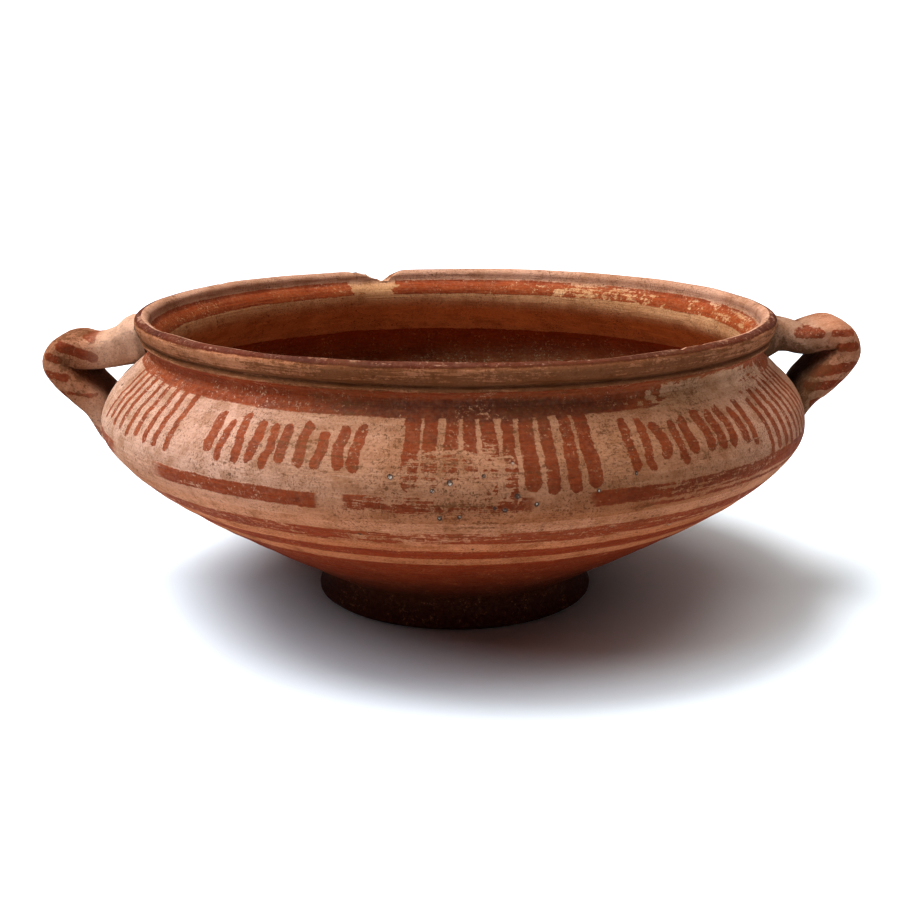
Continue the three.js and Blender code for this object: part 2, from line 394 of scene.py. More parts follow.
def even_curve(knots, steps):
    """A smooth curve through the knots, sampled at even distances."""
    ends = np.vstack([2 * knots[0] - knots[1], knots, 2 * knots[-1] - knots[-2]])
    points = []
    for p0, p1, p2, p3 in zip(ends, ends[1:], ends[2:], ends[3:]):
        gaps = [max(np.linalg.norm(b - a) ** 0.5, 1e-6) for a, b in ((p0, p1), (p1, p2), (p2, p3))]
        d0, d1, d2 = gaps
        m1 = ((p1 - p0) / d0 - (p2 - p0) / (d0 + d1) + (p2 - p1) / d1) * d1
        m2 = ((p2 - p1) / d1 - (p3 - p1) / (d1 + d2) + (p3 - p2) / d2) * d1
        t = np.linspace(0, 1, 40, endpoint=False)[:, None]
        points.append(
            (2 * t**3 - 3 * t**2 + 1) * p1
            + (t**3 - 2 * t**2 + t) * m1
            + (3 * t**2 - 2 * t**3) * p2
            + (t**3 - t**2) * m2
        )
    run = np.vstack(points + [knots[-1:]])
    at = np.concatenate([[0], np.cumsum(np.linalg.norm(np.diff(run, axis=0), axis=1))])
    even = np.linspace(0, at[-1], steps + 1)
    return np.stack([np.interp(even, at, run[:, k]) for k in range(2)], 1)


def strap_handle(name, shape, material, seed):
    """A clay strap bent by hand: thick at the rim, spread over the bend, smeared on to the body."""
    line = handle_line(shape)
    stations, ring = len(line), 56
    share = np.linspace(0, 1, stations)[:, None]
    tangent = np.gradient(line, axis=0)
    tangent /= np.linalg.norm(tangent, axis=1)[:, None]
    normal = np.stack([-tangent[:, 1], tangent[:, 0]], 1) * shape["side"]
    width = np.interp(share, *HANDLE_WIDTHS)
    outer, inner = np.interp(share, *shape["outer"]), np.interp(share, *shape["inner"])
    turn = 2 * np.pi * np.arange(ring)[None, :] / ring
    c, s = np.cos(turn), np.sin(turn)
    flat = np.sign(s) * np.abs(s) ** 0.5
    rng = np.random.default_rng(seed)
    lumps = sum(
        np.cos(rng.integers(1, 4) * turn + share * rng.normal(0, 9) + rng.uniform(0, 6.28))
        for _ in range(9)
    )
    swell = 1 + 0.012 * lumps - 0.02
    hollow = 1 - 0.05 * (1 - c * c) ** 3 * smoothstep(share, 0.3, 0.5)
    dents = 0.22 * waves(turn, 14 * share, seed + 40, 12, (2, 9), 1)
    across = 0.5 * width * c * swell
    outward = np.where(flat > 0, outer, inner) * flat * hollow * swell + dents * np.abs(c)
    x = line[:, :1] + normal[:, :1] * outward
    z = line[:, 1:] + normal[:, 1:] * outward
    x = np.clip(x, CAD_LOW[0] / MM + 0.03, CAD_HIGH[0] / MM - 0.03)
    y = across + 0 * x
    points = np.stack([x, y, z], -1).reshape(-1, 3)
    faces = [(a, d, c, b) for a, b, c, d in ring_quads(0, stations - 1, ring)]
    faces.append(tuple(range(ring))[::-1])
    faces.append(tuple((stations - 1) * ring + j for j in range(ring)))
    if shape["side"] > 0:
        faces = [f[::-1] for f in faces]
    piece = mesh_object(name, points, faces, [material])
    point_value(piece, "outer", flat + 0 * x)
    return piece


# Shader building


class Graph:
    """Short names for placing and joining shader nodes."""

    def __init__(self, tree):
        self.tree = tree
        self.nodes = tree.nodes

    def feed(self, socket, value):
        if isinstance(value, bpy.types.NodeSocket):
            self.tree.links.new(value, socket)
        elif isinstance(value, tuple) and len(value) == 3 and socket.type == "RGBA":
            socket.default_value = (*value, 1.0)
        else:
            socket.default_value = value

    def node(self, kind, inputs=(), **settings):
        made = self.nodes.new(kind)
        for name, value in settings.items():
            setattr(made, name, value)
        for name, value in dict(inputs).items():
            self.feed(made.inputs[name], value)
        return made

    def math(self, operation, a, b=0.0, c=0.0, clamp=False):
        made = self.node("ShaderNodeMath", operation=operation, use_clamp=clamp)
        for socket, value in zip(made.inputs, (a, b, c)):
            self.feed(socket, value)
        return made.outputs[0]

    def plus(self, a, b):
        return self.math("ADD", a, b)

    def minus(self, a, b):
        return self.math("SUBTRACT", a, b)

    def times(self, a, b):
        return self.math("MULTIPLY", a, b)

    def times_plus(self, a, b, c):
        return self.math("MULTIPLY_ADD", a, b, c)

    def larger(self, a, b):
        return self.math("MAXIMUM", a, b)

    def smaller(self, a, b):
        return self.math("MINIMUM", a, b)

    def scaled(self, vector, factors):
        made = self.node("ShaderNodeVectorMath", operation="MULTIPLY")
        self.feed(made.inputs[0], vector)
        made.inputs[1].default_value = factors
        return made.outputs[0]

    def noise(self, vector, scale, detail=2.0, rough=0.5, offset=0.0):
        if offset:
            moved = self.node("ShaderNodeVectorMath", operation="ADD")
            self.feed(moved.inputs[0], vector)
            moved.inputs[1].default_value = (offset, offset * 0.7, -offset * 1.3)
            vector = moved.outputs[0]
        made = self.node("ShaderNodeTexNoise", noise_dimensions="3D")
        self.feed(made.inputs["Vector"], vector)
        made.inputs["Scale"].default_value = scale
        made.inputs["Detail"].default_value = detail
        made.inputs["Roughness"].default_value = rough
        return made.outputs["Fac"]

    def ramp(self, value, low, high, to_low=0.0, to_high=1.0, smooth=True):
        made = self.node("ShaderNodeMapRange", clamp=True)
        made.interpolation_type = "SMOOTHSTEP" if smooth else "LINEAR"
        for socket, v in zip(made.inputs, (value, low, high, to_low, to_high)):
            self.feed(socket, v)
        return made.outputs[0]

    def mix(self, factor, a, b, blend="MIX"):
        made = self.node("ShaderNodeMix", data_type="RGBA", blend_type=blend)
        self.feed(made.inputs["Factor"], factor)
        colours = [s for s in made.inputs if s.type == "RGBA"]
        self.feed(colours[0], a)
        self.feed(colours[1], b)
        return [s for s in made.outputs if s.type == "RGBA"][0]

    def layer(self, colour, share, amount, top):
        """The top colour laid over by that amount of a mask."""
        return self.mix(self.times(share, amount), colour, top)

    def tinge(self, colour, top, most, value, low, high):
        """The top colour laid over by up to its most, as the value goes from low to high."""
        return self.mix(self.ramp(value, low, high, 0.0, most), colour, top)

    def centred(self, noise, size):
        """A noise of 0 to 1 as an offset to either side of nothing."""
        return self.times(self.minus(noise, 0.5), size)

    def distance(self, across, up):
        squares = self.times(across, across), self.times(up, up)
        return self.math("SQRT", self.plus(*squares))

    def cloud(self, vector, scale, offset, low, high, to_low=0.0, to_high=1.0):
        """Soft noise whose values from low to high are spread over the range asked for."""
        return self.ramp(self.noise(vector, scale, 3, 0.6, offset), low, high, to_low, to_high)

    def use(self, group, inputs=()):
        made = self.node("ShaderNodeGroup", node_tree=group)
        for name, value in dict(inputs).items():
            self.feed(made.inputs[name], value)
        return made.outputs


STROKE_SIZES = "First, Pitch, Count, Low, High, Half Width, Ragged, Bend, Seed"
PATCH_SIZES = "At Turn, At Rise, Half Turn, Half Rise, Ragged"
SOCKET_KINDS = {"values": "NodeSocketFloat", "colours": "NodeSocketColor", "vectors": "NodeSocketVector"}


def new_group(name, inputs, outputs):
    """An empty node group; inputs and outputs list the names of its sockets of each kind."""
    tree = bpy.data.node_groups.new(name, "ShaderNodeTree")
    for in_out, kinds in (("INPUT", inputs), ("OUTPUT", outputs)):
        for kind, names in kinds.items():
            for label in names.split(", "):
                tree.interface.new_socket(label, in_out=in_out, socket_type=SOCKET_KINDS[kind])
    graph = Graph(tree)
    taken = graph.node("NodeGroupInput").outputs
    given = graph.node("NodeGroupOutput").inputs
    return tree, graph, taken, given


def place_group():
    """Where a point lies on the bowl, in degrees round it and millimetres."""
    tree, g, _, given = new_group(
        "Place on the bowl",
        {},
        {"vectors": "Place, Streak", "values": "Turn, Back Turn, Rise"},
    )
    coordinates = g.node("ShaderNodeTexCoord").outputs["Object"]
    place = g.scaled(coordinates, (1000, 1000, 1000))
    split = g.node("ShaderNodeSeparateXYZ", {"Vector": place}).outputs
    back_x = g.times(split["X"], -1.0)
    front_y = g.times(split["Y"], -1.0)
    turn = g.math("DEGREES", g.math("ARCTAN2", split["X"], front_y))
    back = g.math("DEGREES", g.math("ARCTAN2", back_x, split["Y"]))
    g.feed(given["Place"], place)
    g.feed(given["Streak"], g.scaled(place, (0.16, 0.16, 2.2)))
    g.feed(given["Turn"], turn)
    g.feed(given["Back Turn"], back)
    g.feed(given["Rise"], split["Z"])
    return tree


def clay_group():
    """Buff fired clay: cloudy body colour, fine mottling, grit and dark specks."""
    tree, g, taken, given = new_group(
        "Fired buff clay",
        {"vectors": "Place, Streak"},
        {"colours": "Color", "values": "Height, Roughness"},
    )
    place, streak = taken["Place"], taken["Streak"]
    cloud = g.noise(place, 0.022, 3, 0.55)
    colour = g.mix(g.ramp(cloud, 0.35, 0.68), DULL_CLAY, WARM_CLAY)
    mottle = g.noise(place, 0.16, 4, 0.65, 40)
    colour = g.tinge(colour, CLAY_MOTTLE, 0.65, mottle, 0.44, 0.66)
    wipe = g.noise(streak, 0.45, 5, 0.68, 11)
    colour = g.tinge(colour, WIPED_PALE, 0.5, wipe, 0.52, 0.68)
    colour = g.tinge(colour, WIPED_DARK, 0.4, wipe, 0.44, 0.33)
    fine = g.noise(place, 1.5, 4, 0.78, 5)
    colour = g.tinge(colour, FINE_DARK, 0.65, fine, 0.52, 0.68)
    colour = g.tinge(colour, FINE_PALE, 0.35, fine, 0.44, 0.32)
    crowd = g.cloud(place, 0.055, 77, 0.36, 0.6, 0.25, 1.0)
    kept = 0.0
    for scale, least, seed in ((0.62, 0.55, 0.0), (1.35, 0.5, 31.0)):
        bent = g.node("ShaderNodeVectorMath", operation="MULTIPLY_ADD")
        stir = g.node("ShaderNodeTexNoise", {"Vector": place, "Scale": 1.3 + seed / 30})
        g.feed(bent.inputs[0], stir.outputs["Color"])
        bent.inputs[1].default_value = (1.1, 1.1, 1.1)
        g.feed(bent.inputs[2], place)
        grit = g.node("ShaderNodeTexVoronoi", {"Vector": bent.outputs[0], "Scale": scale}, feature="F1")
        size = g.node("ShaderNodeSeparateColor", {"Color": grit.outputs["Color"]}).outputs
        reach = g.ramp(size[0], least, 1.0, 0.0, 0.40, smooth=False)
        speck = g.ramp(g.minus(reach, grit.outputs["Distance"]), 0.0, 0.14)
        kept = g.larger(kept, speck)
    kept = g.times(kept, crowd)
    dust = g.ramp(g.noise(place, 1.75, 3, 0.8, 17), 0.55, 0.62)
    kept = g.larger(kept, g.times(dust, g.ramp(crowd, 0.25, 1.0, 0.3, 0.9)))
    colour = g.layer(colour, kept, 0.75, GRIT)
    g.feed(given["Color"], colour)
    low = g.times(kept, -0.6)
    low = g.times_plus(g.ramp(wipe, 0.35, 0.65), 0.5, low)
    g.feed(given["Height"], g.plus(g.times(fine, 0.7), low))
    g.feed(given["Roughness"], g.ramp(mottle, 0.3, 0.7, 0.78, 0.92))
    return tree


def slip_group():
    """Red-brown slip paint: thin and thick passes of the brush, fading to the clay where worn."""
    tree, g, taken, given = new_group(
        "Red slip paint",
        {"vectors": "Place, Streak", "colours": "Under", "values": "Painted, Wear, Stain"},
        {"colours": "Color", "values": "Cover"},
    )
    place, streak = taken["Place"], taken["Streak"]
    streaks = g.noise(streak, 0.55, 4, 0.62, 3)
    flecks = g.noise(place, 0.55, 5, 0.72, 23)
    worn = g.plus(g.times(streaks, 0.55), g.times(flecks, 0.45))
    limit = g.ramp(taken["Wear"], 0.0, 1.0, 0.72, 0.36, smooth=False)
    left = g.ramp(g.minus(limit, worn), -0.025, 0.03)
    chipped = g.ramp(g.noise(place, 1.0, 5, 0.75, 57), 0.56, 0.61)
    chipped = g.times(chipped, g.cloud(place, 0.13, 58, 0.44, 0.6))
    left = g.times(left, g.minus(1.0, chipped))
    cover = g.times(left, taken["Painted"])
    thick = g.noise(streak, 0.8, 3, 0.6, 31)
    red = g.mix(g.ramp(thick, 0.3, 0.7), THIN_SLIP, THICK_SLIP)
    blotch = g.noise(place, 0.09, 3, 0.6, 61)
    red = g.tinge(red, ORANGE_SLIP, 0.5, blotch, 0.45, 0.75)
    grain = g.noise(place, 1.6, 3, 0.75, 66)
    red = g.tinge(red, SLIP_GRAIN, 0.55, grain, 0.5, 0.68)
    # Purple-black bloom; on the lower cone and foot the same darkening is painted shade.
    red = g.layer(red, taken["Stain"], 0.9, SLIP_BLOOM_AND_SHADE)
    fade = g.cloud(place, 0.8, 90, 0.35, 0.75, 0.98, 0.8)
    g.feed(given["Color"], g.layer(taken["Under"], cover, fade, red))
    g.feed(given["Cover"], cover)
    return tree


def band_group():
    """A painted band round the pot between two heights, its edges wavering like a brush line."""
    tree, g, taken, given = new_group(
        "Painted band",
        {"vectors": "Place", "values": "Rise, Low, High, Waver"},
        {"values": "Painted"},
    )
    slow = g.minus(g.noise(taken["Place"], 0.045, 2, 0.5, 9), 0.5)
    quick = g.minus(g.noise(taken["Place"], 0.42, 5, 0.7, 15), 0.5)
    sway = g.plus(g.times(slow, 2.6), g.times(quick, 2.0))
    rise = g.plus(taken["Rise"], g.times(sway, taken["Waver"]))
    over = g.ramp(g.minus(rise, taken["Low"]), -0.16, 0.16)
    under = g.ramp(g.minus(taken["High"], rise), -0.16, 0.16)
    g.feed(given["Painted"], g.times(over, under))
    return tree


def stroke_group():
    """A row of upright brush strokes side by side, each a little different."""
    tree, g, taken, given = new_group(
        "Row of brush strokes",
        {"vectors": "Place", "values": "Turn, Rise, " + STROKE_SIZES},
        {"values": "Painted"},
    )
    turn, rise = taken["Turn"], taken["Rise"]
    steps = g.math("DIVIDE", g.minus(turn, taken["First"]), taken["Pitch"])
    number = g.math("ROUND", steps)
    pick = g.node("ShaderNodeTexWhiteNoise", noise_dimensions="2D")
    pair = g.node("ShaderNodeCombineXYZ", {"X": number, "Y": taken["Seed"]}).outputs[0]
    g.feed(pick.inputs["Vector"], pair)
    chance = g.node("ShaderNodeSeparateColor", {"Color": pick.outputs["Color"]}).outputs
    bend = g.node("ShaderNodeTexNoise", noise_dimensions="2D")
    spot = g.node(
        "ShaderNodeCombineXYZ",
        {"X": g.times(rise, 0.13), "Y": g.times_plus(number, 7.31, taken["Seed"])},
    ).outputs[0]
    g.feed(bend.inputs["Vector"], spot)
    bend.inputs["Scale"].default_value = 1.0
    bend.inputs["Detail"].default_value = 1.5
    sway = g.centred(bend.outputs["Fac"], 3.0)
    sway = g.times(sway, taken["Bend"])
    local = g.times(g.minus(steps, number), taken["Pitch"])
    local = g.times(local, STROKE_MM_PER_DEGREE)
    shift = g.centred(chance[0], 0.7)
    local = g.plus(g.plus(local, sway), shift)
    low = g.times_plus(g.minus(chance[1], 0.5), taken["Ragged"], taken["Low"])
    high = g.times_plus(g.minus(chance[2], 0.5), taken["Ragged"], taken["High"])
    half = g.times(g.ramp(chance[1], 0, 1, 0.8, 1.18, smooth=False), taken["Half Width"])
    low = g.plus(low, half)
    high = g.minus(high, half)
    past = g.larger(g.minus(rise, high), g.minus(low, rise))
    past = g.larger(past, 0.0)
    far = g.distance(local, past)
    edge = g.minus(g.noise(taken["Place"], 0.55, 5, 0.72, 19), 0.5)
    far = g.times_plus(edge, 2.3, far)
    stroke = g.ramp(g.minus(half, far), -0.12, 0.12)
    first = g.math("GREATER_THAN", number, -0.5)
    last = g.math("LESS_THAN", number, g.minus(taken["Count"], 0.5))
    g.feed(given["Painted"], g.times(stroke, g.times(first, last)))
    return tree


def patch_group():
    """An oval patch round a spot on the wall, with a soft ragged edge."""
    tree, g, taken, given = new_group(
        "Oval patch",
        {"vectors": "Place", "values": "Turn, Rise, " + PATCH_SIZES},
        {"values": "Patch"},
    )
    a = g.math("DIVIDE", g.minus(taken["Turn"], taken["At Turn"]), taken["Half Turn"])
    b = g.math("DIVIDE", g.minus(taken["Rise"], taken["At Rise"]), taken["Half Rise"])
    far = g.distance(a, b)
    rough = g.minus(g.noise(taken["Place"], 0.2, 4, 0.65, 51), 0.5)
    far = g.plus(far, g.times(g.times(rough, 3.0), taken["Ragged"]))
    g.feed(given["Patch"], g.ramp(far, 1.15, 0.75))
    return tree


def spot_group():
    """How far a point lies from one small spot on the wall; 1 is the spot's edge."""
    inputs = {"values": "Turn, Rise, At Turn, At Rise, Size"}
    tree, g, taken, given = new_group("Distance from a spot", inputs, {"values": "Distance"})
    a = g.times(g.minus(taken["Turn"], taken["At Turn"]), PIT_MM_PER_DEGREE)
    b = g.minus(taken["Rise"], taken["At Rise"])
    far = g.distance(a, b)
    g.feed(given["Distance"], g.math("DIVIDE", far, taken["Size"]))
    return tree


def dash_group():
    """How deep a point lies in one short leaning dash, looking at the handle from the front."""
    inputs = {"values": "X, Z, At X, At Z, Lean, Half Length, Half Width"}
    tree, g, taken, given = new_group("Leaning dash", inputs, {"values": "Depth"})
    x = g.minus(taken["X"], taken["At X"])
    z = g.minus(taken["Z"], taken["At Z"])
    c, s = g.math("COSINE", taken["Lean"]), g.math("SINE", taken["Lean"])
    u = g.plus(g.times(x, c), g.times(z, s))
    v = g.minus(g.times(z, c), g.times(x, s))
    straight = g.minus(taken["Half Length"], taken["Half Width"])
    past = g.larger(g.minus(g.math("ABSOLUTE", u), straight), 0.0)
    far = g.distance(past, v)
    g.feed(given["Depth"], g.minus(taken["Half Width"], far))
    return tree


def pits_group():
    """Small open pits where grit has sprung out, pale or dark inside."""
    tree, g, taken, given = new_group(
        "Sprung pits",
        {"vectors": "Place", "values": "Amount"},
        {"values": "Pit, Rim", "colours": "Color"},
    )
    cells = g.node("ShaderNodeTexVoronoi", feature="F1")
    g.feed(cells.inputs["Vector"], taken["Place"])
    cells.inputs["Scale"].default_value = 0.21
    chance = g.node("ShaderNodeSeparateColor", {"Color": cells.outputs["Color"]}).outputs
    limit = g.minus(1.0, taken["Amount"])
    chosen = g.math("GREATER_THAN", chance[0], limit)
    size = g.ramp(chance[1], 0.0, 1.0, 0.05, 0.15, smooth=False)
    ragged = g.centred(g.noise(taken["Place"], 1.4, 2, 0.6, 7), 0.12)
    gap = g.minus(g.plus(size, ragged), cells.outputs["Distance"])
    pit = g.times(g.ramp(gap, 0.0, 0.035), chosen)
    rim = g.times(g.ramp(gap, -0.06, 0.0), chosen)
    colour = g.mix(g.math("GREATER_THAN", chance[2], 0.55), PIT_DARK, PIT_PALE)
    g.feed(given["Pit"], pit)
    g.feed(given["Rim"], g.math("SUBTRACT", rim, pit, clamp=True))
    g.feed(given["Color"], colour)
    return tree


def grime_group():
    """Brown earth settled on the surface in smears and small flecks, also laid on as painted shade."""
    tree, g, taken, given = new_group(
        "Settled earth and painted shade",
        {"vectors": "Place, Streak", "colours": "Under", "values": "Amount"},
        {"colours": "Color", "values": "Cover"},
    )
    place, streak = taken["Place"], taken["Streak"]
    smear = g.noise(streak, 0.5, 4, 0.65, 101)
    fleck = g.noise(place, 0.75, 5, 0.75, 107)
    mixed = g.plus(g.times(smear, 0.45), g.times(fleck, 0.55))
    limit = g.ramp(taken["Amount"], 0.0, 1.0, 0.74, 0.38, smooth=False)
    heavy = g.ramp(g.minus(mixed, limit), -0.03, 0.06, 0.0, 0.75)
    film = g.times(taken["Amount"], 0.45)
    cover = g.larger(heavy, film)
    g.feed(given["Color"], g.mix(cover, taken["Under"], EARTH_AND_SHADE))
    g.feed(given["Cover"], cover)
    return tree


def new_material(name):
    material = bpy.data.materials.new(name)
    material.use_nodes = True
    graph = Graph(material.node_tree)
    shader = material.node_tree.nodes["Principled BSDF"]
    return material, graph, shader


def any_of(g, masks):
    """The strongest of several painted areas."""
    total = masks[0]
    for mask in masks[1:]:
        total = g.larger(total, mask)
    return total


def finish_surface(g, shader, colour, roughness, height, depth):
    g.feed(shader.inputs["Base Color"], colour)
    g.feed(shader.inputs["Roughness"], roughness)
    shader.inputs["Specular IOR Level"].default_value = 0.06
    bump = g.node("ShaderNodeBump")
    bump.inputs["Strength"].default_value = 0.8
    bump.inputs["Distance"].default_value = depth * MM
    g.feed(bump.inputs["Height"], height)
    g.feed(shader.inputs["Normal"], bump.outputs["Normal"])


class WallPaint:
    """The painted wall: places bands, rows of strokes, patches and wear on one material.

    tints lists masks with the colour that the finished paint is multiplied by there; some stand for painted
    light and shade.
    """

    def __init__(self, groups, name):
        self.groups = groups
        self.tints = []
        self.material, self.g, self.shader = new_material(name)
        self.at = self.g.use(groups["place"])
        self.place, self.turn, self.rise = (self.at[k] for k in ("Place", "Turn", "Rise"))
        self.where = {"Place": self.place, "Streak": self.at["Streak"]}
        self.clay = self.g.use(groups["clay"], self.where)

    def cloud(self, *sizes):
        return self.g.cloud(self.place, *sizes)

    def band(self, low, high, waver=0.5):
        made = {"Place": self.place, "Rise": self.rise, "Low": low, "High": high, "Waver": waver}
        return self.g.use(self.groups["band"], made)[0]

    def row(self, side, *sizes):
        """One row of strokes; side is the turn that it is measured on, sizes as in STROKE_SIZES."""
        made = {"Place": self.place, "Turn": self.at[side], "Rise": self.rise}
        made.update(zip(STROKE_SIZES.split(", "), sizes))
        return self.g.use(self.groups["stroke"], made)[0]

    def patch(self, side, *sizes):
        """One oval patch; sizes as in PATCH_SIZES."""
        made = {"Place": self.place, "Turn": self.at[side], "Rise": self.rise}
        made.update(zip(PATCH_SIZES.split(", "), sizes))
        return self.g.use(self.groups["patch"], made)[0]

    def rub(self, wear, amount, side, *sizes):
        """More wear over one oval patch."""
        return self.g.times_plus(self.patch(side, *sizes), amount, wear)

    def spots(self, places):
        """The listed pits, each a turn, a height and a size: how far from the nearest one."""
        nearest = 9.0
        for turn, rise, size in places:
            made = {"Turn": self.at["Turn"], "Rise": self.rise}
            made.update({"At Turn": turn, "At Rise": rise, "Size": size})
            nearest = self.g.smaller(nearest, self.g.use(self.groups["spot"], made)[0])
        ragged = self.g.minus(self.g.noise(self.place, 0.9, 3, 0.7, 7), 0.5)
        return self.g.times_plus(ragged, 1.5, nearest)

    def finish(self, painted, wear, stain, earth, pits, ridges, spots=None):
        """Slip over the clay, earth in the low places and as painted shade, the tints, pits, and the relief
        of it all.
        """
        g = self.g
        made = {"Under": self.clay["Color"], "Painted": painted, "Wear": wear, "Stain": stain}
        slip = g.use(self.groups["slip"], {**self.where, **made})
        soiled = {"Under": slip["Color"], "Amount": earth}
        colour = g.use(self.groups["grime"], {**self.where, **soiled})["Color"]
        for share, tint in self.tints:
            colour = g.mix(share, colour, tint, "MULTIPLY")
        holes = g.use(self.groups["pits"], {"Place": self.place, "Amount": pits})
        colour = g.layer(colour, holes["Pit"], 0.9, holes["Color"])
        colour = g.layer(colour, holes["Rim"], 0.35, PIT_RIM)
        if spots is not None:
            speck = g.ramp(g.noise(self.place, 1.3, 2, 0.6, 88), 0.48, 0.6)
            colour = g.layer(colour, g.ramp(spots, 1.7, 1.1), 0.3, SPOT_HALO)
            colour = g.layer(colour, g.ramp(spots, 1.1, 0.8), 0.85, SPOT_DARK)
            colour = g.layer(colour, g.ramp(spots, 0.75, 0.45), speck, SPOT_PALE)
        rough = g.minus(self.clay["Roughness"], g.times(slip["Cover"], 0.2))
        lines = g.noise(g.scaled(self.place, (0.02, 0.02, 2.2)), 1.0, 3, 0.65, 2)
        height = g.times_plus(lines, ridges, self.clay["Height"])
        height = g.times_plus(slip["Cover"], 0.35, height)
        height = g.times_plus(holes["Pit"], -3.0, height)
        if spots is not None:
            height = g.times_plus(g.ramp(spots, 1.2, 0.6), -5.0, height)
        finish_surface(g, self.shader, colour, rough, height, 0.16)
        return self.material


# Rows of strokes: the side, then each size in the order of STROKE_SIZES, in degrees and millimetres
FRONT_ROWS = [
    ("Turn", -36.3, 2.56, 10, 66.6, 76.2, 1.6, 2.2, 1.3, 3),
    ("Turn", -6.0, 2.68, 10, 62.2, 80.5, 1.95, 1.4, 0.5, 21),
    ("Turn", 24.5, 2.68, 10, 66.0, 76.2, 1.6, 2.4, 1.3, 8),
]
BACK_ROWS = [
    ("Back Turn", -36.0, 2.6, 10, 66.9, 76.0, 1.55, 2.2, 1.2, 13),
    ("Back Turn", -10.5, 2.7, 9, 62.6, 80.5, 1.85, 1.2, 0.45, 26),
    ("Back Turn", 25.0, 2.6, 10, 66.6, 76.0, 1.55, 2.2, 1.2, 18),
]
LEFT_ROWS = [
    ("Turn", -68.9, 3.06, 9, 65.0, 80.5, 1.25, 2.4, 0.4, 31),
    ("Back Turn", 51.6, 3.0, 8, 63.5, 80.5, 1.2, 2.0, 0.35, 46),
]
RIGHT_ROWS = [
    ("Turn", 52.6, 2.62, 9, 61.0, 80.5, 1.25, 1.4, 0.35, 36),
    ("Back Turn", -70.0, 3.0, 8, 63.5, 80.5, 1.2, 2.0, 0.35, 41),
]
# Pits on the front of the shoulder: turn in degrees, height and size in millimetres
FRONT_PITS = [
    (-8.2, 66.4, 0.61),
    (-0.6, 65.2, 0.66),
    (-2.8, 63.3, 0.49),
    (3.7, 66.7, 0.45),
    (7.9, 61.8, 0.66),
    (5.0, 59.0, 0.45),
    (6.3, 58.4, 0.57),
    (-1.9, 56.2, 0.66),
    (0.6, 56.6, 0.49),
    (10.4, 59.6, 0.57),
    (24.3, 65.0, 0.49),
    (18.7, 61.9, 0.45),
]


def outside_wear(paint):
    """How far the slip is rubbed away: in clouds, most on the neck at the right and on the lip."""
    g = paint.g
    wear = paint.cloud(0.03, 70, 0.3, 0.75, 0.12, 0.42)
    wear = paint.rub(wear, 0.6, "Turn", 46.0, 80.0, 20.0, 3.8, 0.6)
    return g.times_plus(g.ramp(paint.rise, 91.5, 92.6), 0.25, wear)


def outside_stain(paint):
    """Purple-black bloom that has run down over the neck band."""
    g = paint.g
    bloom = paint.cloud(0.05, 80, 0.3, 0.5, 0.35, 1.0)
    mottled = g.ramp(g.noise(paint.place, 0.9, 4, 0.75, 85), 0.36, 0.58, 0.45, 1.0)
    bloom = g.times(bloom, mottled)
    front = paint.patch("Turn", 4.0, 80.2, 25.0, 2.7, 0.35)
    return g.times(bloom, front)


def faded_neck(paint):
    """Where the neck band has faded, right of the middle."""
    g = paint.g
    across = g.times(g.ramp(paint.rise, 76.0, 80.0), g.ramp(paint.rise, 85.2, 84.4))
    return g.times(across, g.ramp(paint.turn, 20.0, 38.0))


def outside_grime(paint):
    """Earth and painted shade over the middle and right of the front, thinning to the left and back."""
    cloud = paint.cloud(0.035, 130, 0.35, 0.7, 0.05, 0.28)
    return paint.rub(cloud, 0.40, "Turn", 13.0, 76.0, 42.0, 34.0, 0.25)


def rim_paint(groups):
    """The outside of the rim: thin slip on the lip, bare collar and bead, red neck band."""
    paint = WallPaint(groups, "painted_rim")
    g = paint.g
    neck, lip = paint.band(78.4, 85.0, 0.45), paint.band(91.3, 96.0, 0.4)
    faded = paint.cloud(0.05, 84, 0.35, 0.7, 0.6, 1.0)
    stain = g.larger(outside_stain(paint), g.times(lip, faded))
    groove = g.cloud(paint.at["Streak"], 0.5, 44, 0.3, 0.6, 0.3, 1.0)
    groove = g.times(paint.band(85.6, 87.7, 0.3), groove)
    smeared = g.ramp(g.noise(paint.at["Streak"], 0.8, 5, 0.7, 47), 0.36, 0.62, 0.12, 0.62)
    collar = g.times(paint.band(85.0, 91.6, 0.3), smeared)
    earth = g.plus(g.plus(outside_grime(paint), groove), collar)
    paint.tints = [
        (paint.band(84.6, 91.8, 0.3), (0.90, 0.72, 0.57)),
        # Painted light: the neck band, shaded under the collar, is made lighter.
        (g.ramp(paint.rise, 85.2, 84.4), (1.25, 1.22, 1.15)),
        (lip, (0.74, 0.70, 0.71)),
        (faded_neck(paint), (1.10, 1.24, 1.30)),
    ]
    return paint.finish(any_of(g, [neck, lip]), outside_wear(paint), stain, earth, 0.035, 0.8)


